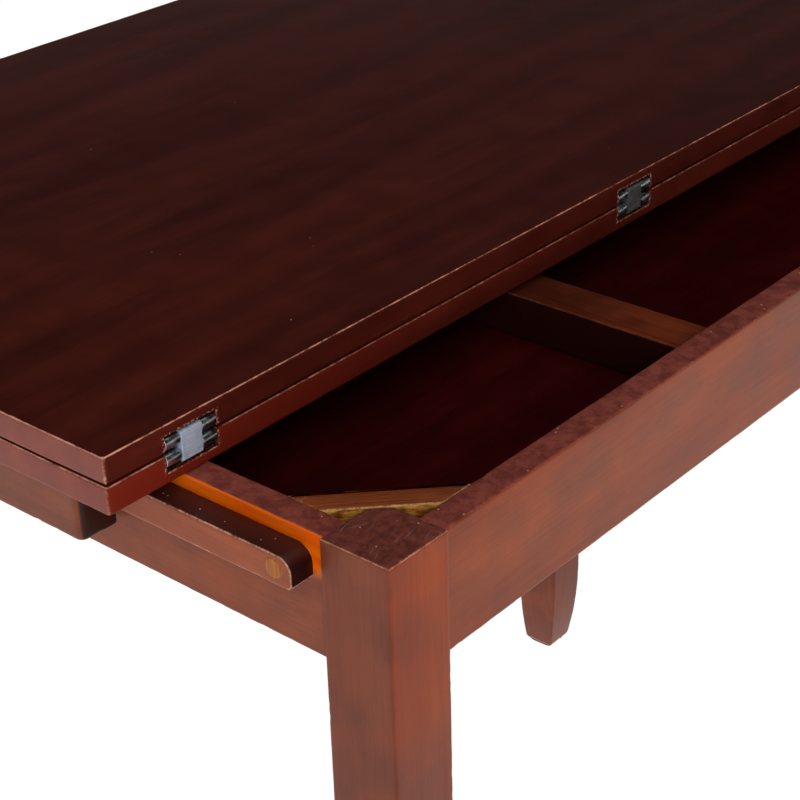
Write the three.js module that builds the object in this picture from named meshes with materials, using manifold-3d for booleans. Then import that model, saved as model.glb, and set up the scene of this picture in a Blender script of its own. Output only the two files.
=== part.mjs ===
// Flip-top sliding table. Two equal leaves lie folded on each other on a leg-and-apron frame.
// Cleats under the lower leaf wrap two runners on the end aprons, so the folded top slides
// back over a shallow storage well. With the hinged edge at the frame's middle, the upper
// leaf folds forward on three double-pin link hinges and the top is twice as deep.
//
// Millimetres. +X along the table, +Y towards its back, +Z up, floor at z = 0.
// The origin is on the floor, under the middle of the whole table with the top part slid.

import * as THREE from "three";
import { mergeVertices } from "three/addons/utils/BufferGeometryUtils.js";
import Module from "manifold-3d";

const wasm = await Module();
wasm.setup();

// ---------------------------------------------------------------- driving dimensions

const FRAME = { length: 840, depth: 518, height: 738 };
const LEG = {
  width: 46,
  footWidth: 31,
  taperHeight: 110,
  taperPower: 2.2,
  cutCorner: 10,
  cutHeight: 90,
  easing: 0.75,
};
const GLIDE = { radius: 9, height: 3 };
const APRON = { height: 75.5, thickness: 18, endInset: 2.5, longInset: 1.25 };
const TENON = { thickness: 10, length: 14, shoulder: 8, face: 4, play: 0.3 };
const WELL = { depth: 34, board: 6, ledger: 12 };
const RAIL = { centre: -114, width: 34, drop: 4 };
const BRACE = { reach: 110, thickness: 17.5, height: 61, drop: 1 };
const BOLT = { radius: 4, start: 29, length: 63, drop: 50, nutFlats: 13, nutHeight: 6.5 };
const FLANGE = { radius: 8.5, thickness: 1.5 };
const BORE_PLAY = 0.15;
const RUNNER = { proud: 15, top: 8.75, height: 18.5, endGap: 6.5, topRadius: 9, lowRadius: 3 };
const PLUG = { radius: 6, length: 6, fromEnd: 12 };

const TOP = { length: 944, depth: 545, thickness: 16.65, seam: 1.2, clearance: 1, edge: 1 };
const CLEAT = { outside: 27, legGap: 0.5, wall: 11, bottom: 50.5, cornerRadius: 5, inset: 44 };
const GROOVE = { above: 1, below: 1.5 };
const STOP = { width: 60, depth: 20, height: 12 };

// How far the folded top is slid back from its closed place, and how far it can go.
const SLID = 156;
const FULL_SLIDE = TOP.depth / 2;

// A link hinge: two pins, one in each leaf, joined by a flat-fronted link between barrels.
const HINGE = {
  fromEnd: 60,
  width: 37,
  linkWidth: 15,
  pinSpacing: 10,
  setback: 3.6,
  barrel: 4.2,
  pin: 1.9,
  pinPlay: 0.1,
  plate: 1.6,
  plateDepth: 32,
  swing: 5.9,
  sidePlay: 0.4,
};
const LINK_CORNER = 1.2;
const SCREW_HOLE = { radius: 1.9, fromSide: 7, rows: [15, 26] };

const GLUE_GAP = 0.25; // hairline left between pieces that are glued or screwed together
const ROUND = 24; // sides of a round hinge part
const BOLT_SIDES = 16;

// ---------------------------------------------------------------- materials

const finish = (color, roughness, metalness = 0) =>
  new THREE.MeshStandardMaterial({ color, roughness, metalness });

const MATERIAL = {
  top: finish(0x3a1510, 0.3),
  frame: finish(0x7a4532, 0.4),
  rail: finish(0x8a5a30, 0.6),
  well: finish(0x2c0a0a, 0.6),
  runner: finish(0x5a2a1c, 0.35),
  rawWood: finish(0xb08448, 0.75),
  hinge: finish(0x4a4744, 0.35, 0.9),
  link: finish(0x8c949c, 0.35, 0.9),
  bolt: finish(0x9a9c9e, 0.4, 0.9),
  glide: finish(0x5a4a3c, 0.6),
};

// ---------------------------------------------------------------- shape helpers

function box(x0, x1, y0, y1, z0, z1) {
  const geometry = new THREE.BoxGeometry(x1 - x0, y1 - y0, z1 - z0);
  return geometry.translate((x0 + x1) / 2, (y0 + y1) / 2, (z0 + z1) / 2);
}

// An upright prism on a plan outline of [x, y] points.
function prism(outline, z0, z1) {
  const shape = new THREE.Shape(outline.map(([x, y]) => new THREE.Vector2(x, y)));
  const geometry = new THREE.ExtrudeGeometry(shape, { depth: z1 - z0, bevelEnabled: false });
  return geometry.translate(0, 0, z0);
}

// A prism along X on a side outline given as a shape in (y, z).
function prismAlongX(shape, x0, x1, curveSegments = 8) {
  const options = { depth: x1 - x0, bevelEnabled: false, curveSegments };
  const geometry = new THREE.ExtrudeGeometry(shape, options);
  geometry.applyMatrix4(new THREE.Matrix4().set(0, 0, 1, x0, 1, 0, 0, 0, 0, 1, 0, 0, 0, 0, 0, 1));
  return geometry;
}

function cylinderAlongX(radius, x0, x1, y, z, sides = ROUND) {
  const geometry = new THREE.CylinderGeometry(radius, radius, x1 - x0, sides);
  return geometry.rotateZ(Math.PI / 2).translate((x0 + x1) / 2, y, z);
}

function welded(geometry) {
  const bare = new THREE.BufferGeometry();
  const whole = geometry.index ? geometry : mergeVertices(geometry);
  bare.setAttribute("position", whole.attributes.position.clone());
  bare.setIndex([...whole.index.array]);
  return mergeVertices(bare, 1e-4);
}

function solid(geometry) {
  const clean = welded(geometry);
  const mesh = new wasm.Mesh({
    numProp: 3,
    vertProperties: new Float32Array(clean.attributes.position.array),
    triVerts: new Uint32Array(clean.index.array),
  });
  return new wasm.Manifold(mesh);
}

function geometryOf(manifold) {
  const { vertProperties, triVerts } = manifold.getMesh();
  const geometry = new THREE.BufferGeometry();
  geometry.setAttribute("position", new THREE.BufferAttribute(vertProperties, 3));
  geometry.setIndex(new THREE.BufferAttribute(triVerts, 1));
  return geometry;
}

function combine(geometry, { add = [], cut = [] }) {
  let result = solid(geometry);
  for (const extra of add) result = result.add(solid(extra));
  for (const tool of cut) result = result.subtract(solid(tool));
  return geometryOf(result);
}

// A copy reflected in x and/or y, with its triangles turned so its faces still point out.
function mirrored(geometry, sx, sy) {
  const copy = welded(geometry);
  copy.scale(sx, sy, 1);
  if (sx * sy < 0) {
    const index = copy.index.array;
    for (let i = 0; i < index.length; i += 3) {
      [index[i], index[i + 1]] = [index[i + 1], index[i]];
    }
  }
  return copy;
}

// ---------------------------------------------------------------- assembly helpers

const table = new THREE.Group();
const frame = new THREE.Group();
const slidingTop = new THREE.Group();
const frameY = -(TOP.depth / 2 + SLID - FRAME.depth / 2) / 2;
frame.position.set(0, frameY, 0);
slidingTop.position.set(0, frameY + SLID, FRAME.height + TOP.clearance);
table.add(frame, slidingTop);

function place(parent, name, geometry, material) {
  const plain = welded(geometry);
  plain.computeVertexNormals();
  const mesh = new THREE.Mesh(plain, material);
  mesh.name = name;
  parent.add(mesh);
}

// The four corners and two ends, named as someone standing at the front sees them.
const CORNERS = [
  ["front_left", 1, 1],
  ["front_right", -1, 1],
  ["back_left", 1, -1],
  ["back_right", -1, -1],
];
const ENDS = [
  ["left", 1],
  ["right", -1],
];

// ---------------------------------------------------------------- leg frame
// Corner pieces are drawn for the front left corner, then reflected.

const cornerX = -FRAME.length / 2;
const cornerY = -FRAME.depth / 2;
const apronBottom = FRAME.height - APRON.height;

// Points on the corner's diagonal are given by their distance from the leg's outer corner.
function alongDiagonal(geometry, distance, z) {
  const part = geometry.clone().rotateZ(Math.PI / 4);
  const step = distance / Math.SQRT2;
  return part.translate(cornerX + step, cornerY + step, z);
}

function legWidthAt(height) {
  const share = Math.max(0, 1 - height / LEG.taperHeight);
  return LEG.width - (LEG.width - LEG.footWidth) * share ** LEG.taperPower;
}

// Square sections stacked up the leg. Its two outer faces are straight, its inner two taper.
function legBlank() {
  const levels = [
    [0, 2],
    [1, 0.7],
    [3, 0],
  ];
  for (const height of [12, 24, 38, 54, 75, LEG.taperHeight]) levels.push([height, 0]);
  const top = FRAME.height - GLIDE.height;
  levels.push([top - LEG.easing, 0], [top, LEG.easing]);

  const points = [];
  for (const [height, inset] of levels) {
    const far = legWidthAt(height) - inset;
    const z = GLIDE.height + height;
    for (const [x, y] of [[inset, inset], [far, inset], [far, far], [inset, far]]) {
      points.push(cornerX + x, cornerY + y, z);
    }
  }
  const faces = [0, 2, 1, 0, 3, 2];
  for (let level = 0; level < levels.length - 1; level += 1) {
    for (let side = 0; side < 4; side += 1) {
      const a = level * 4 + side;
      const b = level * 4 + ((side + 1) % 4);
      faces.push(a, b, b + 4, a, b + 4, a + 4);
    }
  }
  const last = (levels.length - 1) * 4;
  faces.push(last, last + 1, last + 2, last, last + 2, last + 3);
  const geometry = new THREE.BufferGeometry();
  geometry.setAttribute("position", new THREE.Float32BufferAttribute(points, 3));
  geometry.setIndex(faces);
  return geometry;
}

function legMortise(inset, runsAlongX) {
  const near = inset + TENON.face - TENON.play;
  const sideways = [near, near + TENON.thickness + 2 * TENON.play];
  const inward = [LEG.width - TENON.length - 2 * TENON.play, LEG.width + 1];
  const [x, y] = runsAlongX ? [inward, sideways] : [sideways, inward];
  const z0 = apronBottom + TENON.shoulder - TENON.play;
  const z1 = FRAME.height - TENON.shoulder + TENON.play;
  return box(cornerX + x[0], cornerX + x[1], cornerY + y[0], cornerY + y[1], z0, z1);
}

function leg() {
  const reach = LEG.width + 5;
  const cutLine = 2 * LEG.width - LEG.cutCorner;
  const corner = [
    [cutLine - reach, reach],
    [reach, cutLine - reach],
    [reach, reach],
  ].map(([x, y]) => [cornerX + x, cornerY + y]);
  const boltHole = cylinderAlongX(BOLT.radius + TENON.play, BOLT.start - 1,
    LEG.width * Math.SQRT2, 0, 0, BOLT_SIDES);
  return combine(legBlank(), {
    cut: [
      prism(corner, FRAME.height - LEG.cutHeight, FRAME.height + 1),
      legMortise(APRON.endInset, false),
      legMortise(APRON.longInset, true),
      alongDiagonal(boltHole, 0, FRAME.height - BOLT.drop),
    ],
  });
}

function apron(runsAlongX) {
  const inset = runsAlongX ? APRON.longInset : APRON.endInset;
  const outer = (runsAlongX ? cornerY : cornerX) + inset;
  const end = (runsAlongX ? FRAME.length : FRAME.depth) / 2 - LEG.width;
  const bar = (half, from, to, z0, z1) => (runsAlongX
    ? box(-half, half, from, to, z0, z1)
    : box(from, to, -half, half, z0, z1));
  const body = bar(end - GLUE_GAP, outer, outer + APRON.thickness, apronBottom, FRAME.height);
  const tongue = bar(end + TENON.length, outer + TENON.face, outer + TENON.face + TENON.thickness,
    apronBottom + TENON.shoulder, FRAME.height - TENON.shoulder);
  return combine(body, { add: [tongue] });
}

function placeAprons() {
  const long = apron(true);
  const end = apron(false);
  place(frame, "apron_front", long, MATERIAL.frame);
  place(frame, "apron_back", mirrored(long, 1, -1), MATERIAL.frame);
  place(frame, "apron_left", end, MATERIAL.frame);
  place(frame, "apron_right", mirrored(end, -1, 1), MATERIAL.frame);
}

// Inner faces of the aprons, as distances from the leg's outer corner.
const endInner = APRON.endInset + APRON.thickness;
const longInner = APRON.longInset + APRON.thickness;

function cornerBrace() {
  const near = BRACE.reach - BRACE.thickness * Math.SQRT2;
  const x = endInner + GLUE_GAP;
  const y = longInner + GLUE_GAP;
  const plan = [
    [x, near - x],
    [near - y, y],
    [BRACE.reach - y, y],
    [x, BRACE.reach - x],
  ].map(([px, py]) => [cornerX + px, cornerY + py]);
  const top = FRAME.height - BRACE.drop;
  const outerFace = BRACE.reach / Math.SQRT2;
  const hole = cylinderAlongX(BOLT.radius + TENON.play, outerFace - BRACE.thickness - 5,
    outerFace + 5, 0, 0, BOLT_SIDES);
  return combine(prism(plan, top - BRACE.height, top), {
    cut: [alongDiagonal(hole, 0, FRAME.height - BOLT.drop)],
  });
}

function hangerBolt() {
  const end = BOLT.start + BOLT.length;
  const rod = cylinderAlongX(BOLT.radius, BOLT.start, end, 0, 0, BOLT_SIDES);
  return alongDiagonal(rod, 0, FRAME.height - BOLT.drop);
}

// A flanged hexagon nut on the brace's inner face.
function boltNut() {
  const start = BRACE.reach / Math.SQRT2 + TENON.play;
  const flange = cylinderAlongX(FLANGE.radius, start, start + FLANGE.thickness, 0, 0);
  const acrossCorners = BOLT.nutFlats / 2 / Math.cos(Math.PI / 6);
  const hexagon = cylinderAlongX(acrossCorners, start, start + BOLT.nutHeight, 0, 0, 6);
  const bore = cylinderAlongX(BOLT.radius + BORE_PLAY, start - 1, start + BOLT.nutHeight + 1, 0, 0,
    BOLT_SIDES);
  const nut = combine(flange, { add: [hexagon], cut: [bore] });
  return alongDiagonal(nut, 0, FRAME.height - BOLT.drop);
}

function footGlide() {
  const { radius, height } = GLIDE;
  const profile = [
    [0, 0],
    [radius - 1.5, 0],
    [radius, 1],
    [radius, height],
    [0, height],
  ].map(([r, z]) => new THREE.Vector2(r, z));
  const middle = LEG.footWidth / 2;
  const disc = new THREE.LatheGeometry(profile, 20).rotateX(Math.PI / 2);
  return disc.translate(cornerX + middle, cornerY + middle, 0);
}

function placeCornerPieces() {
  const pieces = [
    ["leg", leg(), MATERIAL.frame],
    ["corner_brace", cornerBrace(), MATERIAL.rawWood],
    ["hanger_bolt", hangerBolt(), MATERIAL.bolt],
    ["brace_nut", boltNut(), MATERIAL.bolt],
    ["foot_glide", footGlide(), MATERIAL.glide],
  ];
  for (const [name, geometry, material] of pieces) {
    for (const [corner, sx, sy] of CORNERS) {
      place(frame, `${name}_${corner}`, mirrored(geometry, sx, sy), material);
    }
  }
}

// ---------------------------------------------------------------- storage well

const wellFloor = FRAME.height - WELL.depth;

function placeWell() {
  const x = FRAME.length / 2 - endInner - 2 * GLUE_GAP;
  const y = FRAME.depth / 2 - longInner - 2 * GLUE_GAP;
  const cut = BRACE.reach + 1.5 - FRAME.length / 2 - FRAME.depth / 2;
  const cutAtX = -cut - x;
  const cutAtY = -cut - y;
  const outline = [
    [-x, -cutAtX],
    [-cutAtY, -y],
    [cutAtY, -y],
    [x, -cutAtX],
    [x, cutAtX],
    [cutAtY, y],
    [-cutAtY, y],
    [-x, cutAtX],
  ];
  const bottom = wellFloor - WELL.board;
  place(frame, "well_board", prism(outline, bottom, wellFloor), MATERIAL.well);

  const rail = box(RAIL.centre - RAIL.width / 2, RAIL.centre + RAIL.width / 2,
    -y - GLUE_GAP, y + GLUE_GAP, wellFloor + GLUE_GAP, FRAME.height - RAIL.drop);
  place(frame, "divider_rail", rail, MATERIAL.rail);

  // Ledger strips screwed to the aprons carry the board between the corner braces.
  const clearOfBrace = BRACE.reach - Math.min(endInner, longInner) + 5;
  const z0 = bottom - GLUE_GAP - WELL.ledger;
  const z1 = bottom - GLUE_GAP;
  const endFace = FRAME.length / 2 - endInner - GLUE_GAP;
  const longFace = FRAME.depth / 2 - longInner - GLUE_GAP;
  const halfEnd = FRAME.depth / 2 - clearOfBrace;
  const halfLong = FRAME.length / 2 - clearOfBrace;
  const endStrip = box(endFace - WELL.ledger, endFace, -halfEnd, halfEnd, z0, z1);
  const longStrip = box(-halfLong, halfLong, longFace - WELL.ledger, longFace, z0, z1);
  place(frame, "ledger_right", endStrip, MATERIAL.rawWood);
  place(frame, "ledger_left", mirrored(endStrip, -1, 1), MATERIAL.rawWood);
  place(frame, "ledger_back", longStrip, MATERIAL.rawWood);
  place(frame, "ledger_front", mirrored(longStrip, 1, -1), MATERIAL.rawWood);
}

// ---------------------------------------------------------------- runners

const runnerOuter = cornerX - RUNNER.proud;
const runnerTop = FRAME.height - RUNNER.top;
const runnerEnd = FRAME.depth / 2 - LEG.width - RUNNER.endGap;
const plugY = -runnerEnd + PLUG.fromEnd;
const plugZ = runnerTop - RUNNER.height / 2 + 0.75;

// A bar with a large round at its upper ends and a small one at its lower ends.
function runner() {
  const low = runnerTop - RUNNER.height;
  const side = new THREE.Shape();
  const { topRadius: big, lowRadius: small } = RUNNER;
  side.moveTo(-runnerEnd + small, low);
  side.lineTo(runnerEnd - small, low);
  side.absarc(runnerEnd - small, low + small, small, -Math.PI / 2, 0, false);
  side.absarc(runnerEnd - big, runnerTop - big, big, 0, Math.PI / 2, false);
  side.absarc(-runnerEnd + big, runnerTop - big, big, Math.PI / 2, Math.PI, false);
  side.absarc(-runnerEnd + small, low + small, small, Math.PI, Math.PI * 1.5, false);
  const bar = prismAlongX(side, runnerOuter, cornerX + APRON.endInset - GLUE_GAP);
  const sockets = [plugY, -plugY].map((y) => cylinderAlongX(
    PLUG.radius + TENON.play, runnerOuter - 1, runnerOuter + PLUG.length + TENON.play, y, plugZ));
  return combine(bar, { cut: sockets });
}

function placeRunners() {
  const bar = runner();
  const plug = cylinderAlongX(PLUG.radius, runnerOuter, runnerOuter + PLUG.length, plugY, plugZ);
  for (const [end, sx] of ENDS) {
    place(frame, `runner_${end}`, mirrored(bar, sx, 1), MATERIAL.runner);
    place(frame, `runner_plug_front_${end}`, mirrored(plug, sx, 1), MATERIAL.rawWood);
    place(frame, `runner_plug_back_${end}`, mirrored(plug, sx, -1), MATERIAL.rawWood);
  }
}

// ---------------------------------------------------------------- the folded top
// Here z = 0 is the lower leaf's underside and y = 0 the leaves' middle.

const frontEdge = -TOP.depth / 2;
const seamMiddle = TOP.thickness + TOP.seam / 2;
const pinY = frontEdge + HINGE.setback;
const lowerPinZ = seamMiddle - HINGE.pinSpacing / 2;
const frameTop = -TOP.clearance;
const hingePlaces = [
  ["left", -TOP.length / 2 + HINGE.fromEnd],
  ["middle", 0],
  ["right", TOP.length / 2 - HINGE.fromEnd],
];

// A board with eased edges, its underside at z = 0.
function leafBlank() {
  const { length, depth, thickness, edge } = TOP;
  const x = length / 2;
  const y = depth / 2;
  const corner = 2;
  const outline = new THREE.Shape();
  outline.absarc(x - corner, y - corner, corner, 0, Math.PI / 2, false);
  outline.absarc(-x + corner, y - corner, corner, Math.PI / 2, Math.PI, false);
  outline.absarc(-x + corner, -y + corner, corner, Math.PI, Math.PI * 1.5, false);
  outline.absarc(x - corner, -y + corner, corner, Math.PI * 1.5, Math.PI * 2, false);
  const blank = new THREE.ExtrudeGeometry(outline, {
    depth: thickness - 2 * edge,
    bevelThickness: edge,
    bevelSize: edge,
    bevelOffset: -edge,
    bevelSegments: 2,
    curveSegments: 3,
  });
  return blank.translate(0, 0, edge);
}

// Room for one hinge in the lower leaf: a deep slot at the edge and a shallow plate recess.
function hingeMortise(x) {
  const half = HINGE.width / 2 + HINGE.sidePlay;
  const back = pinY + HINGE.barrel + 2 * HINGE.sidePlay;
  const above = TOP.thickness + 1;
  const floor = TOP.thickness - HINGE.plate - HINGE.sidePlay / 2;
  const plateBack = frontEdge + HINGE.plateDepth + HINGE.sidePlay;
  return [
    box(x - half, x + half, frontEdge - 1, back, lowerPinZ - HINGE.swing, above),
    box(x - half, x + half, back - 1, plateBack, floor, above),
  ];
}

function lowerLeaf() {
  return combine(leafBlank(), { cut: hingePlaces.flatMap(([, x]) => hingeMortise(x)) });
}

// Reflected in the seam: what is in the lower leaf is in the upper one too.
function aboveSeam(geometry) {
  const copy = welded(geometry);
  copy.scale(1, 1, -1).translate(0, 0, 2 * seamMiddle);
  const index = copy.index.array;
  for (let i = 0; i < index.length; i += 3) [index[i], index[i + 1]] = [index[i + 1], index[i]];
  return copy;
}

// One hinge half: a screwed plate with a barrel along its edge, cut away round the link.
function hingePlate(x) {
  const half = HINGE.width / 2;
  const plate = box(x - half, x + half, pinY, frontEdge + HINGE.plateDepth,
    TOP.thickness - HINGE.plate, TOP.thickness);
  const barrel = cylinderAlongX(HINGE.barrel, x - half, x + half, pinY, lowerPinZ);
  const bore = cylinderAlongX(HINGE.pin + HINGE.pinPlay, x - half - 1, x + half + 1,
    pinY, lowerPinZ);
  const halfLink = HINGE.linkWidth / 2 + HINGE.sidePlay;
  const linkRoom = box(x - halfLink, x + halfLink, frontEdge - 5, pinY + HINGE.swing + 0.5,
    lowerPinZ - HINGE.barrel - 1, TOP.thickness + 5);
  const holes = [];
  for (const side of [-1, 1]) {
    for (const row of SCREW_HOLE.rows) {
      const hole = new THREE.CylinderGeometry(SCREW_HOLE.radius, SCREW_HOLE.radius, 6, 12);
      hole.rotateX(Math.PI / 2);
      holes.push(hole.translate(x + side * (half - SCREW_HOLE.fromSide), frontEdge + row,
        TOP.thickness));
    }
  }
  return combine(barrel, { add: [plate], cut: [bore, linkRoom, ...holes] });
}

function hingePin(x) {
  const half = HINGE.width / 2;
  return cylinderAlongX(HINGE.pin, x - half, x + half, pinY, lowerPinZ);
}

// The link: square at the front with eased corners, round behind each pin.
function hingeLink(x) {
  const r = HINGE.barrel;
  const upperPinZ = lowerPinZ + HINGE.pinSpacing;
  const front = pinY - r;
  const side = new THREE.Shape();
  side.moveTo(front, upperPinZ + r - LINK_CORNER);
  side.lineTo(front, lowerPinZ - r + LINK_CORNER);
  side.absarc(front + LINK_CORNER, lowerPinZ - r + LINK_CORNER, LINK_CORNER, Math.PI,
    Math.PI * 1.5, false);
  side.absarc(pinY, lowerPinZ, r, -Math.PI / 2, 0, false);
  side.absarc(pinY, upperPinZ, r, 0, Math.PI / 2, false);
  side.absarc(front + LINK_CORNER, upperPinZ + r - LINK_CORNER, LINK_CORNER, Math.PI / 2,
    Math.PI, false);
  const half = HINGE.linkWidth / 2;
  const body = prismAlongX(side, x - half, x + half);
  const bores = [lowerPinZ, upperPinZ].map((z) =>
    cylinderAlongX(HINGE.pin + HINGE.pinPlay, x - half - 1, x + half + 1, pinY, z));
  return combine(body, { cut: bores });
}

// A long strip under each end of the lower leaf, grooved to run on the runner.
function cleat() {
  const outer = cornerX - CLEAT.outside;
  const inner = cornerX - CLEAT.legGap;
  const half = FRAME.depth / 2 - CLEAT.inset;
  const r = CLEAT.cornerRadius;
  const plan = new THREE.Shape();
  plan.moveTo(inner, -half);
  plan.lineTo(inner, half);
  plan.absarc(outer + r, half - r, r, Math.PI / 2, Math.PI, false);
  plan.absarc(outer + r, -half + r, r, Math.PI, Math.PI * 1.5, false);
  const bottom = frameTop - CLEAT.bottom;
  const blank = new THREE.ExtrudeGeometry(plan, {
    depth: -GLUE_GAP - bottom,
    bevelEnabled: false,
    curveSegments: 6,
  }).translate(0, 0, bottom);
  const grooveTop = frameTop - RUNNER.top + GROOVE.above;
  const grooveLow = frameTop - RUNNER.top - RUNNER.height - GROOVE.below;
  const groove = box(outer + CLEAT.wall, inner + 5, -half - 1, half + 1, grooveLow, grooveTop);
  return combine(blank, { cut: [groove] });
}

// Blocks under the lower leaf that meet the front apron when the top is closed and the back
// apron when the hinged edge reaches the middle of the frame.
function placeStopBlocks() {
  const apronFace = FRAME.depth / 2 - longInner - 2 * GLUE_GAP;
  const places = [
    ["stop_block_front", -apronFace],
    ["stop_block_rear", apronFace - FULL_SLIDE - STOP.depth],
  ];
  for (const [name, y] of places) {
    const block = box(-STOP.width / 2, STOP.width / 2, y, y + STOP.depth,
      -GLUE_GAP - STOP.height, -GLUE_GAP);
    place(slidingTop, name, block, MATERIAL.runner);
  }
}

function placeTop() {
  place(slidingTop, "lower_leaf", lowerLeaf(), MATERIAL.top);
  place(slidingTop, "upper_leaf", aboveSeam(lowerLeaf()), MATERIAL.top);
  for (const [name, x] of hingePlaces) {
    const half = hingePlate(x);
    const pin = hingePin(x);
    place(slidingTop, `hinge_lower_${name}`, half, MATERIAL.hinge);
    place(slidingTop, `hinge_upper_${name}`, aboveSeam(half), MATERIAL.hinge);
    place(slidingTop, `hinge_link_${name}`, hingeLink(x), MATERIAL.link);
    place(slidingTop, `lower_pin_${name}`, pin, MATERIAL.bolt);
    place(slidingTop, `upper_pin_${name}`, aboveSeam(pin), MATERIAL.bolt);
  }
  const strip = cleat();
  for (const [end, sx] of ENDS) {
    place(slidingTop, `cleat_${end}`, mirrored(strip, sx, 1), MATERIAL.frame);
  }
  placeStopBlocks();
}

placeCornerPieces();
placeAprons();
placeWell();
placeRunners();
placeTop();

export default table;
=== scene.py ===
"""Looks of the flip-top sliding table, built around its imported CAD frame.

Metres, in the row frame: +X along the table, +Y to its back, +Z up, floor at z = 0.
Wooden pieces are rebuilt with eased, worn edges from the boxes of the CAD nodes, the hinges
with finer barrels, plates and screws. What keeps its CAD shape gets a material and a bevel.
"""

import math

import bmesh
import bpy
from mathutils import Matrix, Vector, noise


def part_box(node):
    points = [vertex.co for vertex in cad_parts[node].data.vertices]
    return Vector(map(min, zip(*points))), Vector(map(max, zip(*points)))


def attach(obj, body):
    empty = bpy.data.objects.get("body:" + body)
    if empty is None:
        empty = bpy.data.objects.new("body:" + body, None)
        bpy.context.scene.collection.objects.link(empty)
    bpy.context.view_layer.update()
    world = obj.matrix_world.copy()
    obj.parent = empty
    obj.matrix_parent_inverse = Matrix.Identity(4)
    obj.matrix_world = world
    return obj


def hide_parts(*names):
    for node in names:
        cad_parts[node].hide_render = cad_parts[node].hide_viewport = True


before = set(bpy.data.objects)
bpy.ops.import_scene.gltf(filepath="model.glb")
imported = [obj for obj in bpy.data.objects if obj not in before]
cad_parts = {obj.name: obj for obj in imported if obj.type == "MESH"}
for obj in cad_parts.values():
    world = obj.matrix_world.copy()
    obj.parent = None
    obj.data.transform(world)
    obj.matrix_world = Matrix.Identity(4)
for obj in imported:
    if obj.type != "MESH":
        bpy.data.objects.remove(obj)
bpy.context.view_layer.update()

MM = 0.001
TOP_BODY, LINK_BODY, FLAP_BODY, BASE_BODY = "sliding_top", "hinge_links", "flap", "base"
CORNERS = ["front_left", "front_right", "back_left", "back_right"]
ENDS = ["left", "right"]
HINGES = ["left", "middle", "right"]
X, Y, Z = 0, 1, 2


def corner_of(corner, low, high):
    """A box's outermost x and y at a corner of the table, and the signs that lead inward."""
    outer_x, side_x = (low.x, 1) if "left" in corner else (high.x, -1)
    outer_y, side_y = (low.y, 1) if "front" in corner else (high.y, -1)
    return outer_x, outer_y, side_x, side_y


def middle_of(name, axis):
    low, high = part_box(name)
    return (low[axis] + high[axis]) / 2


def circle(sides):
    """The angles of a regular polygon's corners."""
    return [2 * math.pi * step / sides for step in range(sides)]


def srgb(red, green, blue):
    """A shader colour from 0 to 255 display values."""
    linear = []
    for value in (red, green, blue):
        share = value / 255
        linear.append(share / 12.92 if share <= 0.04045 else ((share + 0.055) / 1.055) ** 2.4)
    return (*linear, 1.0)


def linked(name, data):
    """A new object with this data, in the scene."""
    made = bpy.data.objects.new(name, data)
    bpy.context.scene.collection.objects.link(made)
    return made


# ---------------- camera

# From the front left leg's outer top corner to the camera, and how the camera is turned.
CAMERA_OFFSET = Vector((-0.55995, -0.49939, 0.50384))
CAMERA_HEADING = math.radians(48.87)
CAMERA_DOWN = math.radians(28.675)
CAMERA_ROLL = math.radians(-1.765)
LENS = 83.95


def make_camera():
    leg_low, leg_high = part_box("leg_front_left")
    corner = Vector((leg_low.x, leg_low.y, leg_high.z))
    camera = linked("camera", bpy.data.cameras.new("camera"))
    camera.data.lens = LENS
    camera.data.sensor_width = 36
    camera.data.clip_start = 0.05
    turn = Matrix.Rotation(-CAMERA_HEADING, 4, "Z")
    tilt = Matrix.Rotation(math.pi / 2 - CAMERA_DOWN, 4, "X")
    roll = Matrix.Rotation(CAMERA_ROLL, 4, "Z")
    camera.matrix_world = Matrix.Translation(corner + CAMERA_OFFSET) @ turn @ tilt @ roll
    bpy.context.scene.camera = camera


# ---------------- floor and light

FLOOR_SIZE = 14.0
FLOOR_GLOW = 1.0
FLOOR_DIM = 0.85  # how bright the floor still is well in front of the table
DIM_FROM, DIM_TO = -0.95, -1.7  # along y
SKY_PALE, SKY_DARK = 0.9, 0.02
SKY_BAND = (0.06, 0.17)  # sine of the elevation where the pale horizon gives way to dark
SOFTBOX = {"place": (-2.1, -2.0, 2.3), "size": 1.7, "watts": 32}
TOP_FILL = {"place": (0.0, -0.6, 3.4), "size": 2.4, "watts": 17}
WARM_FILL = {"place": (0.9, -2.8, 0.8), "size": 1.4, "watts": 10, "tint": (1.0, 0.5, 0.24),
             "shines": False}
AIM = Vector((0.0, 0.0, 0.7))


def make_area_light(name, place, size, watts, tint=(1.0, 1.0, 1.0), shines=True):
    light = bpy.data.lights.new(name, "AREA")
    light.size = size
    light.energy = watts
    light.color = tint
    lamp = linked(name, light)
    lamp.location = place
    lamp.visible_glossy = shines
    lamp.rotation_euler = (AIM - Vector(place)).to_track_quat("-Z", "Y").to_euler()


def make_stage():
    mesh = bpy.data.meshes.new("floor")
    half = FLOOR_SIZE / 2
    mesh.from_pydata([(-half, -half, 0), (half, -half, 0), (half, half, 0), (-half, half, 0)],
                     [], [(0, 1, 2, 3)])
    floor = linked("floor", mesh)
    mesh.materials.append(floor_material())

    make_area_light("softbox", **SOFTBOX)
    make_area_light("top_fill", **TOP_FILL)
    make_area_light("warm_fill", **WARM_FILL)

    world = bpy.data.worlds.new("studio")
    world.use_nodes = True
    tree = world.node_tree
    where = node(tree, "TexCoord").outputs["Generated"]
    height = parts_of(tree, where)[Z]
    sky = spread(tree, height, SKY_BAND, (SKY_PALE, SKY_DARK))
    tree.links.new(sky, tree.nodes["Background"].inputs["Color"])
    bpy.context.scene.world = world

    bpy.context.scene.view_settings.view_transform = "Standard"
    bpy.context.scene.view_settings.look = "None"


# ---------------- shader helpers

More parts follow.
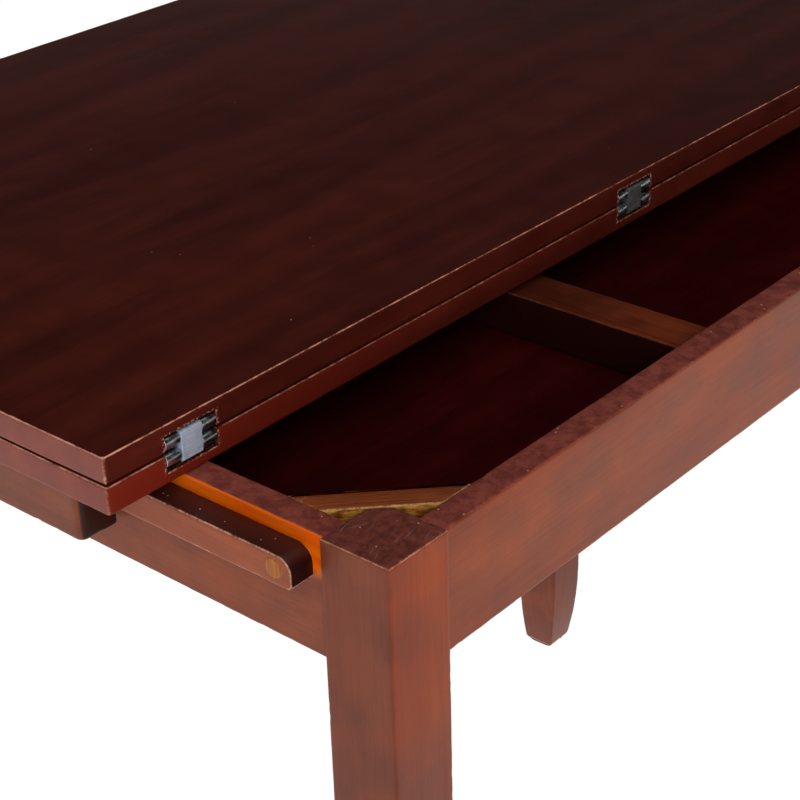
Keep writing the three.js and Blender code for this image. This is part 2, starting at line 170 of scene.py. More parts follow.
def node(tree, kind, inputs=None, **settings):
    """A new shader node. An input is a value, or a socket to link from."""
    made = tree.nodes.new("ShaderNode" + kind)
    for key, value in settings.items():
        setattr(made, key, value)
    for key, value in (inputs or {}).items():
        if isinstance(value, bpy.types.NodeSocket):
            tree.links.new(value, made.inputs[key])
        else:
            made.inputs[key].default_value = value
    return made


def calc(tree, operation, first, second=0.0, clamp=False):
    inputs = {0: first, 1: second}
    return node(tree, "Math", inputs, operation=operation, use_clamp=clamp).outputs[0]


def product(tree, first, *others):
    for other in others:
        first = calc(tree, "MULTIPLY", first, other)
    return first


def size_of(tree, value):
    return calc(tree, "ABSOLUTE", value)


def parts_of(tree, value):
    outputs = node(tree, "SeparateXYZ", {"Vector": value}).outputs
    return outputs["X"], outputs["Y"], outputs["Z"]


def vector(tree, operation, first, second=(0, 0, 0), result="Vector"):
    return node(tree, "VectorMath", {0: first, 1: second}, operation=operation).outputs[result]


def scaled(tree, first, factor):
    inputs = {0: first, "Scale": factor}
    return node(tree, "VectorMath", inputs, operation="SCALE").outputs["Vector"]


def spread(tree, value, source, target=(0.0, 1.0)):
    """Value taken smoothly from the source range to the target range, and held beyond it."""
    inputs = {"Value": value, "From Min": source[0], "From Max": source[1],
              "To Min": target[0], "To Max": target[1]}
    return node(tree, "MapRange", inputs, interpolation_type="SMOOTHSTEP").outputs["Result"]


def blend(tree, share, first, second, mode="MIX"):
    inputs = {0: share, 6: first, 7: second}
    return node(tree, "Mix", inputs, data_type="RGBA", blend_type=mode).outputs[2]


def looks_along(tree, normal, axis, source, target=(0.0, 1.0)):
    """How far a face looks along an axis, either way, spread from the source to the target."""
    return spread(tree, size_of(tree, parts_of(tree, normal)[axis]), source, target)


def cloud(tree, where, scale, detail=2.0, roughness=0.5):
    inputs = {"Vector": where, "Scale": scale, "Detail": detail, "Roughness": roughness}
    return node(tree, "TexNoise", inputs).outputs["Fac"]


def streaks(tree, where, stretch, scale, detail=3.0):
    """Noise drawn out along the axes that are stretched least."""
    drawn = node(tree, "Mapping", {"Vector": where, "Scale": stretch}).outputs["Vector"]
    return cloud(tree, drawn, scale, detail)


def specks(tree, where, scale, size, share):
    """Small round dots, in the given share of cells of about 1 / scale metres."""
    cell = node(tree, "TexVoronoi", {"Vector": where, "Scale": scale})
    dot = spread(tree, cell.outputs["Distance"], (size, size * 0.5))
    pick = node(tree, "SeparateColor", {"Color": cell.outputs["Color"]}).outputs["Red"]
    return product(tree, dot, calc(tree, "LESS_THAN", pick, share))


def new_material(name):
    material = bpy.data.materials.new(name)
    material.use_nodes = True
    tree = material.node_tree
    return material, tree, tree.nodes["Principled BSDF"]


def floor_material():
    material, tree, shader = new_material("pale_floor")
    place = node(tree, "NewGeometry").outputs["Position"]
    depth = parts_of(tree, place)[Y]
    glow = spread(tree, depth, (DIM_TO, DIM_FROM), (FLOOR_DIM, FLOOR_GLOW))
    shader.inputs["Base Color"].default_value = (0.1, 0.1, 0.1, 1)
    shader.inputs["Roughness"].default_value = 1.0
    shader.inputs["Specular IOR Level"].default_value = 0.0
    shader.inputs["Emission Color"].default_value = (1, 1, 1, 1)
    tree.links.new(glow, shader.inputs["Emission Strength"])
    return material


# ---------------- wood

DUST = srgb(236, 186, 156)
# Each wood: two tones that drift along the grain, the bare colour at worn edges, which is
# also the painted highlight on them, and how far they are worn, how strong its fibres and
# pores are, what end grain does to the tone, how patchy it is, gloss, and how much dust and
# how many scratches lie on it.
PLAIN_WOOD = {"wear": 0.3, "fibre": 0.4, "pores": 0.5, "end": 0.85, "patchy": 0.1,
              "rough": 0.5, "gloss": 0.2, "dust": 0.0, "scratch": 0.0}
WOODS = {
    "top_wood": {
        "tones": (srgb(74, 24, 17), srgb(95, 34, 23)), "bare": srgb(230, 164, 138),
        "wear": 1.0, "fibre": 0.12, "pores": 0.12, "end": 2.3, "patchy": 0.08, "rough": 0.34,
        "gloss": 0.06, "dust": 0.002,
    },
    "frame_wood": {
        "tones": (srgb(123, 61, 40), srgb(138, 73, 48)), "bare": srgb(226, 160, 134),
        "wear": 0.8, "fibre": 0.13, "pores": 0.14, "patchy": 0.14, "rough": 0.38,
        "gloss": 0.18, "dust": 0.12,
    },
    "runner_wood": {
        "tones": (srgb(148, 70, 38), srgb(163, 82, 46)), "bare": srgb(240, 180, 156),
        "wear": 1.0, "fibre": 0.12, "pores": 0.16, "end": 0.3, "rough": 0.3, "gloss": 0.18,
        "dust": 0.4,
    },
    "rail_wood": {
        "tones": (srgb(116, 46, 22), srgb(140, 62, 30)), "bare": srgb(176, 110, 66),
        "fibre": 0.25, "pores": 0.2, "end": 0.6, "patchy": 0.25, "rough": 0.55,
        "gloss": 0.12, "dust": 0.002,
    },
    "brace_wood": {
        "tones": (srgb(132, 52, 28), srgb(172, 88, 42)), "bare": srgb(244, 204, 126),
        "wear": 1.0, "fibre": 0.5, "pores": 0.35, "end": 0.7, "patchy": 0.12, "gloss": 0.25,
        "dust": 0.003, "scratch": 0.3,
    },
    "well_wood": {
        "tones": (srgb(50, 5, 5), srgb(66, 8, 8)), "bare": srgb(110, 50, 36),
        "fibre": 0.15, "pores": 0.2, "end": 0.8, "rough": 0.6, "gloss": 0.03,
    },
    "plug_wood": {
        "tones": (srgb(192, 112, 46), srgb(160, 84, 32)), "bare": srgb(196, 140, 84),
        "pores": 0.4,
    },
    "raw_wood": {
        "tones": (srgb(198, 140, 76), srgb(176, 116, 58)), "bare": srgb(224, 184, 124),
        "rough": 0.65, "gloss": 0.3,
    },
}


def along_grain(tree, place, grain, seed, stretch):
    """Coordinates squeezed along the grain, so that noise becomes streaks."""
    length = vector(tree, "DOT_PRODUCT", place, grain, "Value")
    squeezed = scaled(tree, grain, product(tree, length, stretch - 1))
    return vector(tree, "ADD", vector(tree, "ADD", place, squeezed), seed)


def wood(name, paint=None):
    """A wood material. paint(tree, place, normal, colour) may add what lies at one place."""
    look = PLAIN_WOOD | WOODS[name]
    material, tree, shader = new_material(name)
    coords = node(tree, "TexCoord")
    place, normal = coords.outputs["Object"], coords.outputs["Normal"]
    own = dict(attribute_type="OBJECT")
    grain = node(tree, "Attribute", attribute_name="grain", **own).outputs["Vector"]
    seed = node(tree, "Attribute", attribute_name="seed", **own).outputs["Vector"]
    edge = node(tree, "Attribute", attribute_name="edge").outputs["Fac"]

    own_place = vector(tree, "ADD", place, seed)
    waver = cloud(tree, own_place, 7.0, 1.0)
    slow = vector(tree, "ADD", place, scaled(tree, (0.012, 0.012, 0.012), waver))
    fine = vector(tree, "ADD", place, scaled(tree, (0.001, 0.001, 0.001), waver))
    broad = cloud(tree, along_grain(tree, slow, grain, seed, 0.12), 30.0, 3.0, 0.6)
    fibre = cloud(tree, along_grain(tree, fine, grain, seed, 0.02), 760.0, 3.0, 0.7)
    pore = cloud(tree, along_grain(tree, fine, grain, seed, 0.06), 1500.0, 1.0)
    blotch = cloud(tree, own_place, 34.0, 2.0)

    colour = blend(tree, spread(tree, broad, (0.32, 0.68)), *look["tones"])
    shade = spread(tree, fibre, (0.25, 0.75), (1 - look["fibre"], 1 + look["fibre"] * 0.6))
    pores = spread(tree, pore, (0.6, 0.72), (1.0, 1 - look["pores"]))
    stain = spread(tree, blotch, (0.3, 0.7), (1 - look["patchy"], 1 + look["patchy"]))
    tone = product(tree, shade, pores, stain)
    facing = calc(tree, "ABSOLUTE", vector(tree, "DOT_PRODUCT", normal, grain, "Value"))
    tone = product(tree, tone, spread(tree, facing, (0.5, 0.85), (1.0, look["end"])))
    colour = blend(tree, 1.0, colour, tone, "MULTIPLY")
    if paint:
        colour = paint(tree, place, normal, colour)

    # Worn edges: bare wood, and a painted highlight, where the edge is most rounded, broken up
    # along its length.
    patch = cloud(tree, place, 130.0, 3.0, 0.65)
    grit = cloud(tree, place, 850.0, 2.0, 0.7)
    rub = calc(tree, "ADD", product(tree, patch, 1.1), product(tree, grit, 0.7))
    worn = spread(tree, product(tree, edge, rub), (0.5, 1.0))
    worn = calc(tree, "MULTIPLY", worn, look["wear"], clamp=True)
    colour = blend(tree, worn, colour, look["bare"])

    up = spread(tree, parts_of(tree, normal)[Z], (0.7, 0.95))
    marks = specks(tree, place, 240.0, 0.16, look["dust"])
    if look["scratch"]:
        marks = calc(tree, "MAXIMUM", marks, scratches(tree, place, look["scratch"]))
    colour = blend(tree, product(tree, marks, up), colour, DUST)
    tree.links.new(colour, shader.inputs["Base Color"])

    rough = spread(tree, blotch, (0.3, 0.7), (look["rough"] - 0.04, look["rough"] + 0.06))
    rough = calc(tree, "ADD", rough, product(tree, worn, 0.15))
    tree.links.new(rough, shader.inputs["Roughness"])
    shader.inputs["Specular IOR Level"].default_value = look["gloss"]

    relief = calc(tree, "ADD", product(tree, fibre, 0.4), pores)
    relief = calc(tree, "ADD", relief, product(tree, grit, worn))
    bump = node(tree, "Bump", {"Height": relief, "Strength": 0.2, "Distance": 0.05 * MM})
    tree.links.new(bump.outputs["Normal"], shader.inputs["Normal"])
    return material


def scratches(tree, place, amount):
    """A few thin pale lines, each family leaning its own way and only in its own patches."""
    lines = 0.0
    sway = cloud(tree, place, 45.0, 0.0)
    bent = vector(tree, "ADD", place, scaled(tree, (0.006, 0.009, 0.0), sway))
    for lean, shift in ((0.25, 3.0), (-0.3, 7.0), (1.5, 11.0)):
        turned = node(tree, "VectorRotate", {"Vector": bent, "Angle": lean},
                      rotation_type="Z_AXIS").outputs["Vector"]
        drawn = vector(tree, "MULTIPLY", turned, (24.0, 1700.0, 24.0))
        moved = vector(tree, "ADD", drawn, (shift, 0, 0))
        line = spread(tree, cloud(tree, moved, 1.0, 0.0), (0.73, 0.8))
        away = vector(tree, "ADD", place, (shift, shift, 0))
        here = spread(tree, cloud(tree, away, 55.0, 3.0), (0.5, 0.6))
        lines = calc(tree, "MAXIMUM", product(tree, line, here), lines)
    return product(tree, lines, amount)


# ---------------- solids from rings

# SKIRT also sets how far the painted highlight on an eased edge spreads on to the flats.
SKIRT = 1.4 * MM  # how far wear reaches from an eased edge on to the flats beside it
EASING_STEPS = 3
SPACING = 4 * MM  # between the points along an edge
# Shares of pale edge colour, for wear and a painted highlight, on the low edge, the high edge and
# the corners.
EVEN_WEAR_AND_HIGHLIGHT = (0.8, 0.8, 0.8)
LARGE_ROUND = 4 * MM  # corners rounder than this aren't edges that wear


def chipped(place, seed):
    """How much of an edge is worn away at a place, from 0 up, with a few deeper nicks."""
    soft = 0.5 + 0.5 * noise.noise(place * 90 + seed)
    nick = max(0.0, noise.noise(place * 380 + seed) - 0.3)
    return 0.4 * soft + 2.2 * nick


def to_space(axis, flat, height):
    """A point of an outline, at a height along the axis that the outline is square to."""
    u, v = flat
    return {"x": Vector((height, u, v)), "y": Vector((v, height, u)),
            "z": Vector((u, v, height))}[axis]


def corner_spots(before, corner, after, radius, steps):
    """The rounded corner of an anticlockwise outline, as spots: see rounded_outline."""
    into, out = (corner - before).normalized(), (after - corner).normalized()
    first = Vector((into.y, -into.x))
    last = Vector((out.y, -out.x))
    mitre = (first + last) / (1 + first.dot(last))
    centre = corner - mitre * radius
    turn = math.acos(max(-1.0, min(1.0, first.dot(last))))
    spots = []
    for step in range(steps + 1):
        normal = Matrix.Rotation(turn * step / steps, 2) @ first
        edge = 0.0 if radius > LARGE_ROUND else (0.5 if step in (0, steps) else 1.0)
        spots.append({"at": centre + normal * radius, "normal": normal, "edge": edge,
                      "reach": radius, "corner": corner, "mitre": mitre})
    return spots


def rounded_outline(corners, divisions=None):
    """Spots round a convex anticlockwise outline, whose corners are (u, v, radius, steps).

    A spot knows its outward normal, how much of an edge it is, and where it goes when the
    outline shrinks. Straight stretches have fixed divisions, or as many as SPACING gives.
    """
    points = [Vector(c[:2]) for c in corners]
    count = len(corners)
    arcs = [corner_spots(points[i - 1], points[i], points[(i + 1) % count], *corners[i][2:])
            for i in range(count)]
    spots = []
    for i, arc in enumerate(arcs):
        spots += arc
        start, end = arc[-1]["at"], arcs[(i + 1) % count][0]["at"]
        length = (end - start).length
        skirt = min(SKIRT, length / 4)
        inner = divisions[i] if divisions else int(length / SPACING)
        steps = [skirt + (length - 2 * skirt) * k / (inner + 1) for k in range(inner + 2)]
        for step in steps:
            at = start.lerp(end, step / length)
            spots.append({"at": at, "normal": arc[-1]["normal"], "edge": 0.0,
                          "reach": math.inf, "corner": at, "mitre": arc[-1]["normal"]})
    return spots


def shrunk(spot, inset):
    if inset < spot["reach"]:
        return spot["at"] - spot["normal"] * inset
    return spot["corner"] - spot["mitre"] * inset


def solid(name, rings, edges=None):
    """An object with a closed skin through rings of points, all of the same count."""
    count = len(rings[0])
    last = (len(rings) - 1) * count
    faces = [tuple(reversed(range(count))), tuple(range(last, last + count))]
    for start in range(0, last, count):
        for i in range(count):
            a, b = start + i, start + (i + 1) % count
            faces.append((a, b, b + count, a + count))
    mesh = bpy.data.meshes.new(name)
    mesh.from_pydata([point for ring in rings for point in ring], [], faces)
    if edges:
        mesh.attributes.new("edge", "FLOAT", "POINT").data.foreach_set("value", edges)
    work = bmesh.new()
    work.from_mesh(mesh)
    bmesh.ops.remove_doubles(work, verts=work.verts, dist=1e-6)
    bmesh.ops.recalc_face_normals(work, faces=work.faces)
    work.to_mesh(mesh)
    work.free()
    mesh.shade_smooth()
    return linked(name, mesh)


def easing_stations(low, high, round_low, round_high):
    """Heights up a slab's eased side: (height, inset, edge, lean, whether it is on the side)."""
    stations = []
    for start, radius, lean in ((low, round_low, 1), (high, round_high, -1)):
        half = [(start, radius + SKIRT, 0.0, 0, 0)]
        for step in range(EASING_STEPS + 1):
            angle = math.pi / 2 * step / EASING_STEPS
            edge = 0.5 if step in (0, EASING_STEPS) else 1.0
            half.append((start + lean * radius * (1 - math.cos(angle)),
                         radius * (1 - math.sin(angle)), edge, lean, 1))
        half.append((start + lean * (radius + min(SKIRT, (high - low) / 8)), 0.0, 0.0, 0, 1))
        stations.append(half)
    return stations[0] + stations[1][::-1]


def slab(name, axis, corners, low, high, easing, wear=0.0, seed=0.0, bare=EVEN_WEAR_AND_HIGHLIGHT,
         dent=None):
    """A board: an outline square to an axis, from low to high along it, with eased edges.

    easing is one radius, or one for the low edge and one for the high edge. bare is how much
    pale edge colour, worn finish and painted highlight both, goes on the low edge, the high edge
    and the corners between them.
    dent(place, lean) may take more off the low edge (lean 1) or the high edge (lean -1).
    """
    round_low, round_high = easing if isinstance(easing, tuple) else (easing, easing)
    spots = rounded_outline(corners)
    offset = Vector((seed, 2 * seed, 3 * seed))
    shares = {1: bare[0], -1: bare[1], 0: 0.0}
    rings, edges = [], []
    for height, inset, edge, lean, side in easing_stations(low, high, round_low, round_high):
        ring = []
        for spot in spots:
            strength = max(edge, spot["edge"] * side)
            here = to_space(axis, shrunk(spot, inset), height)
            bite = wear * strength * chipped(here, offset)
            if dent:
                bite += edge * dent(here, lean)
            ring.append(to_space(axis, shrunk(spot, inset + bite), height + lean * edge * bite))
            edges.append(max(edge * shares[lean], spot["edge"] * side * bare[2]))
        rings.append(ring)
    return solid(name, rings, edges)


def board(name, axis, outline, kind, seed, easing=None):
    """A slab in place of a CAD node, as long as it along the axis, with its kind's edges."""
    low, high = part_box(name)
    along = "xyz".index(axis)
    return slab(name + "_worn", axis, outline, low[along], high[along],
                easing or kind["easing"], kind["wear"], seed=seed, bare=kind["bare"])


def rectangle(u0, u1, v0, v1, *rounds):
    """A rectangle's corners, with one (radius, steps) for all of them or one for each."""
    points = [(u0, v0), (u1, v0), (u1, v1), (u0, v1)]
    each = rounds if len(rounds) > 1 else rounds * 4
    return [(*point, *rounding) for point, rounding in zip(points, each)]


CARVED_SHARP = 38


def carve(target, *cutters):
    """Cuts the cutters out of target and removes them."""
    for cutter in cutters:
        cut = target.modifiers.new("cut", "BOOLEAN")
        cut.object = cutter
        cut.solver = "MANIFOLD"
    settle(target)
    for cutter in cutters:
        bpy.data.objects.remove(cutter)
    target.data.set_sharp_from_angle(angle=math.radians(CARVED_SHARP))


def settle(target):
    """Makes target's mesh what its modifiers make of it."""
    bpy.context.view_layer.update()
    evaluated = target.evaluated_get(bpy.context.evaluated_depsgraph_get())
    target.data = bpy.data.meshes.new_from_object(evaluated)
    target.modifiers.clear()


def rough_block(low, high, spacing, depth, seed):
    """A cutter with uneven walls, as a router leaves them."""
    size = high - low
    work = bmesh.new()
    bmesh.ops.create_cube(work, size=1.0)
    cuts = max(2, int(max(size) / spacing))
    bmesh.ops.subdivide_edges(work, edges=work.edges[:], cuts=cuts, use_grid_fill=True)
    for vert in work.verts:
        vert.co = low + Vector((vert.co[i] + 0.5) * size[i] for i in range(3))
        jitter = noise.noise_vector(vert.co * 400 + Vector((seed, seed, seed)))
        vert.co += jitter * depth
    mesh = bpy.data.meshes.new("cutter")
    work.to_mesh(mesh)
    work.free()
    return linked("cutter", mesh)


def joined(name, parts, sharp):
    """One object from several that aren't cut into each other, sharp from an angle on."""
    work = bmesh.new()
    for part in parts:
        work.from_mesh(part.data)
    mesh = bpy.data.meshes.new(name)
    work.to_mesh(mesh)
    work.free()
    for part in parts:
        bpy.data.objects.remove(part)
    mesh.set_sharp_from_angle(angle=math.radians(sharp))
    return linked(name, mesh)


GRAINS = {"x": (1.0, 0.0, 0.0), "y": (0.0, 1.0, 0.0), "z": (0.0, 0.0, 1.0)}
seeds_given = []


def give_grain(piece, grain):
    """Marks which way a piece's grain runs, and shifts its pattern from every other's."""
    seeds_given.append(piece.name)
    number = len(seeds_given)
    piece["grain"] = GRAINS.get(grain, grain)
    piece["seed"] = (number * 1.37, number * 0.71, number * 2.13)


def finish_piece(piece, body, node_name, slot, grain=None, look=None):
    """Gives a new piece its material, grain and body, and hides the CAD node it stands in for.

    look is the material's name, where it isn't the slot's.
    """
    piece.data.materials.clear()
    piece.data.materials.append(materials[look or slot])
    if grain:
        give_grain(piece, grain)
    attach(piece, body)
    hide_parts(node_name)


def keep_cad(node_name, look, bevel=0.0, grain=None):
    """A CAD piece whose shape is right: a material, and a small bevel where edges show."""
    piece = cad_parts[node_name]
    piece.data.materials.clear()
    piece.data.materials.append(materials[look])
    if grain:
        give_grain(piece, grain)
    if bevel:
        ease = piece.modifiers.new("ease", "BEVEL")
        ease.width = bevel
        ease.segments = 2
        ease.limit_method = "ANGLE"
        ease.angle_limit = math.radians(40)
        ease.harden_normals = False
    return piece


# ---------------- leg frame

LEG_EASING = 0.9 * MM
LEG_WEAR = 0.45 * MM
LEG_CUT = {"height": 90 * MM, "corner": 10 * MM, "ledge": 0.4 * MM, "below": 1.2 * MM}
# How much pale edge colour, for wear and a painted highlight, a leg's ends and corners get.
LEG_WEAR_AND_HIGHLIGHT = {"ends": 0.9, "corners": 0.12}
FOOT = {"width": 31 * MM, "taper": 110 * MM, "power": 2.2, "easing": 7 * MM}
# Boards: how their corners and other edges are eased, how deep wear bites, and how much pale edge
# colour, for wear and a painted highlight, they get.
APRON = {"into_leg": 3 * MM, "corner": (0.9 * MM, 3), "easing": 0.8 * MM, "wear": 0.5 * MM,
         "bare": (0.6, 0.75, 0.3)}
BRACE = {"thickness": 17.5 * MM, "corner": (0.8 * MM, 3), "easing": 1.3 * MM,
         "wear": 0.5 * MM, "bare": EVEN_WEAR_AND_HIGHLIGHT}


def leg_outline(width, cut):
    """A leg's section, from its outer corner: its inner corner is cut off by a flat."""
    fine = (LEG_EASING, 3)
    small = (min(LEG_EASING, cut / 4), 3)
    corners = [(0, 0, *fine), (width, 0, *fine), (width, width - cut, *small),
               (width - cut, width, *small), (0, width, *fine)]
    return rounded_outline(corners, divisions=(9, 8, 3, 8, 9))


def leg_stations(bottom, top):
    """Heights up a leg with the inset, edge and lean of its section there."""
    ledge = top - LEG_CUT["height"]
    heights = [bottom + k * SPACING for k in range(1, int((top - bottom) / SPACING))]
    heights = [h for h in heights if bottom + FOOT["easing"] + 2 * MM < h < top - 3 * MM
               and abs(h - ledge) > 1 * MM] + [ledge, ledge + LEG_CUT["ledge"]]
    plain = [(h, 0.0, 0.0, 0, 1) for h in sorted(heights)]
    ends = easing_stations(bottom, top, FOOT["easing"], LEG_EASING)
    half = len(ends) // 2
    return ends[:half] + plain + ends[half:]


def make_leg(corner):
    name = f"leg_{corner}"
    low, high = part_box(name)
    outer_x, outer_y, side_x, side_y = corner_of(corner, low, high)
    width = high.x - low.x
    seed = Vector((len(corner), 5.0 * side_x, 9.0 * side_y))
    rings, edges = [], []
    for height, inset, edge, lean, side in leg_stations(low.z, high.z):
        above = min(1.0, (height - low.z) / FOOT["taper"])
        here = width - (width - FOOT["width"]) * (1 - above) ** FOOT["power"]
        is_cut = height > high.z - LEG_CUT["height"] + LEG_CUT["ledge"] / 2
        cut = LEG_CUT["corner"] if is_cut else LEG_CUT["below"]
        ring = []
        for spot in leg_outline(here, cut):
            strength = max(edge, spot["edge"] * side)
            flat = shrunk(spot, inset)
            bite = LEG_WEAR * strength * chipped(Vector((*flat, height)), seed)
            flat = shrunk(spot, inset + bite)
            ring.append((outer_x + side_x * flat.x, outer_y + side_y * flat.y,
                         height + lean * edge * bite))
            edges.append(max(LEG_WEAR_AND_HIGHLIGHT["ends"] * edge, LEG_WEAR_AND_HIGHLIGHT["corners"] * spot["edge"] * side))
        rings.append(ring)
    leg = solid(name + "_worn", rings, edges)
    finish_piece(leg, BASE_BODY, name, "frame_wood", "z", "leg_wood")


def make_aprons():
    for side in ("front", "back"):
        name = f"apron_{side}"
        low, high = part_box(name)
        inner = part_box("leg_front_left")[1].x
        x0, x1 = inner - APRON["into_leg"], -inner + APRON["into_leg"]
        outline = rectangle(low.z, high.z, x0, x1, APRON["corner"])
        piece = board(name, "y", outline, APRON, len(side))
        finish_piece(piece, BASE_BODY, name, "frame_wood", "x")
    for end in ENDS:
        name = f"apron_{end}"
        low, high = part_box(name)
        y0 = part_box("leg_front_left")[1].y - APRON["into_leg"]
        y1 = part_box("leg_back_left")[0].y + APRON["into_leg"]
        outline = rectangle(y0, y1, low.z, high.z, APRON["corner"])
        piece = board(name, "x", outline, APRON, 2 + len(end))
        finish_piece(piece, BASE_BODY, name, "frame_wood", "y", "end_apron_wood")


def make_brace(corner):
    name = f"corner_brace_{corner}"
    low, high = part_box(name)
    outer_x, outer_y, side_x, side_y = corner_of(corner, low, high)
    width, depth = high.x - low.x, high.y - low.y
    near = BRACE["thickness"] * math.sqrt(2)
    plan = [(0, depth - near), (width - near, 0), (width, 0), (0, depth)]
    corners = [(outer_x + side_x * u, outer_y + side_y * v, *BRACE["corner"])
               for u, v in plan]
    if side_x * side_y < 0:
        corners.reverse()
    piece = board(name, "z", corners, BRACE, 4 + side_x + 2 * side_y)
    grain = (math.sqrt(0.5), -side_x * side_y * math.sqrt(0.5), 0.0)
    finish_piece(piece, BASE_BODY, name, "raw_wood", grain, "brace_wood")


THREAD = {"pitch": 1.25 * MM, "depth": 0.6 * MM, "sides": 24}


def make_bolt(corner):
    """A hanger bolt: a rod with turned grooves, along the corner's diagonal."""
    name = f"hanger_bolt_{corner}"
    low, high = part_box(name)
    outer_x, outer_y, side_x, side_y = corner_of(corner, low, high)
    radius = (high.z - low.z) / 2
    start = Vector((outer_x, outer_y, (low.z + high.z) / 2))
    direction = Vector((side_x, side_y, 0)).normalized()
    across, up = Vector((-direction.y, direction.x, 0)), Vector((0, 0, 1))
    length = (Vector((high.x - low.x, high.y - low.y, 0))).length - 2 * radius
    start += direction * radius
    rings = []
    turns = int(length / THREAD["pitch"] * 2)
    for k in range(turns + 1):
        deep = THREAD["depth"] if k % 2 or k in (0, turns) else 0.0
        middle = start + direction * (length * k / turns)
        rings.append([middle + (across * math.cos(a) + up * math.sin(a)) * (radius - deep)
                      for a in circle(THREAD["sides"])])
    piece = solid(name + "_threaded", rings)
    finish_piece(piece, BASE_BODY, name, "bolt_steel")


# ---------------- well and runners

RAIL = {"corner": (0.8 * MM, 3), "easing": 1.1 * MM, "wear": 0.5 * MM, "bare": EVEN_WEAR_AND_HIGHLIGHT}
RUNNER = {"top": (9 * MM, 12), "low": (3 * MM, 5), "outer": 1.1 * MM, "inner": 0.3 * MM,
          "wear": 0.4 * MM, "bare": EVEN_WEAR_AND_HIGHLIGHT}
PLUG = {"sides": 28, "proud": 0.2 * MM}


def make_well():
    low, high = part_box("divider_rail")
    outline = rectangle(low.x, high.x, low.y, high.y, RAIL["corner"])
    piece = board("divider_rail", "z", outline, RAIL, 6)
    finish_piece(piece, BASE_BODY, "divider_rail", "rail_wood", "y")
    keep_cad("well_board", "well_wood", grain="x")
    for side, grain in (("front", "x"), ("back", "x"), ("left", "y"), ("right", "y")):
        keep_cad(f"ledger_{side}", "raw_wood", 0.8 * MM, grain)


def make_runner(end):
    name = f"runner_{end}"
    low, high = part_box(name)
    bottom, top = RUNNER["low"], RUNNER["top"]
    outline = rectangle(low.y, high.y, low.z, high.z, bottom, bottom, top, top)
    easing = (RUNNER["outer"], RUNNER["inner"])
    if end == "right":
        easing = easing[::-1]
    piece = board(name, "x", outline, RUNNER, 8 + len(end), easing)
    finish_piece(piece, BASE_BODY, name, "runner_wood", "y")
    for side in ("front", "back"):
        make_plug(end, side)


def make_plug(end, side):
    """A bare wooden plug, sanded nearly flush with the runner."""
    name = f"runner_plug_{side}_{end}"
    low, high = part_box(name)
    middle_y, middle_z = middle_of(name, Y), middle_of(name, Z)
    radius = (high.z - low.z) / 2
    face, deep = (low.x, 1) if end == "left" else (high.x, -1)
    proud, back = PLUG["proud"], high.x - low.x
    stations = [(-proud, 0.3), (-proud * 0.8, 0.8), (0.0, 1.0), (back, 1.0)]
    rings = [[(face + deep * depth, middle_y + radius * share * math.cos(a),
               middle_z + radius * share * math.sin(a)) for a in circle(PLUG["sides"])]
             for depth, share in stations]
    piece = solid(name + "_sanded", rings)
    finish_piece(piece, BASE_BODY, name, "raw_wood", "z", "plug_wood")


# ---------------- folded top

LEAF = {"corner": (2.2 * MM, 3), "easing": 0.9 * MM, "wear": 0.32 * MM, "dent": 0.9 * MM,
        "dent_reach": 22 * MM, "wear_and_highlight_reach": 120 * MM}
# What is cut for a hinge: a notch in front, past the pin, and a recess for the plate.
NOTCH = {"side": 0.4 * MM, "depth": 9.3 * MM, "past_pin": 5.9 * MM, "out": 1 * MM,
         "spacing": 1.2 * MM, "rough": 0.3 * MM}
RECESS = {"depth": 1.8 * MM, "spacing": 12 * MM, "rough": 0.05 * MM}
# Pale edge colour on a leaf's low edge, high edge and corners, for wear and a painted highlight;
# the lower leaf's top edge, in the seam's shade, gets it strongly.
LEAF_WEAR_AND_HIGHLIGHT = {"lower_leaf": (0.5, 0.9, 0.72), "upper_leaf": (0.2, 1.0, 0.75)}
NOTCH_EDGES = {"half_width": 20 * MM, "half_height": 13 * MM, "depth": 40 * MM}
CLEAT = {"outer": (5 * MM, 6), "inner": (2.2 * MM, 4), "easing": 1.2 * MM, "wear": 0.4 * MM,
         "bare": (0.5, 0.3, 0.55)}
GROOVE = {"side": 1 * MM, "below": 1.5 * MM, "above": 1 * MM, "ends": 5 * MM, "out": 30 * MM}
BLOCK = {"corner": (0.8 * MM, 3), "easing": 1.0 * MM, "wear": 0.4 * MM, "bare": EVEN_WEAR_AND_HIGHLIGHT}


def settle_edges(leaf, front):
    """Edge wear and its painted highlight strongest near a leaf's ends, and none where the hinges
    are let in.
    """
    middles = [middle_of(f"hinge_link_{hinge}", X) for hinge in HINGES]
    seam = middle_of("hinge_link_left", Z)
    leaf_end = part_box("lower_leaf")[1].x
    edges = leaf.data.attributes["edge"].data
    for vert in leaf.data.vertices:
        beside = min(abs(vert.co.x - middle) for middle in middles)
        is_in_front = vert.co.y < front + NOTCH_EDGES["depth"]
        is_near_seam = abs(vert.co.z - seam) < NOTCH_EDGES["half_height"]
        if is_near_seam and is_in_front and beside < NOTCH_EDGES["half_width"]:
            edges[vert.index].value = 0.0
        from_end = leaf_end - abs(vert.co.x)
        edges[vert.index].value *= 0.8 + 0.2 * math.exp(-from_end / LEAF["wear_and_highlight_reach"])


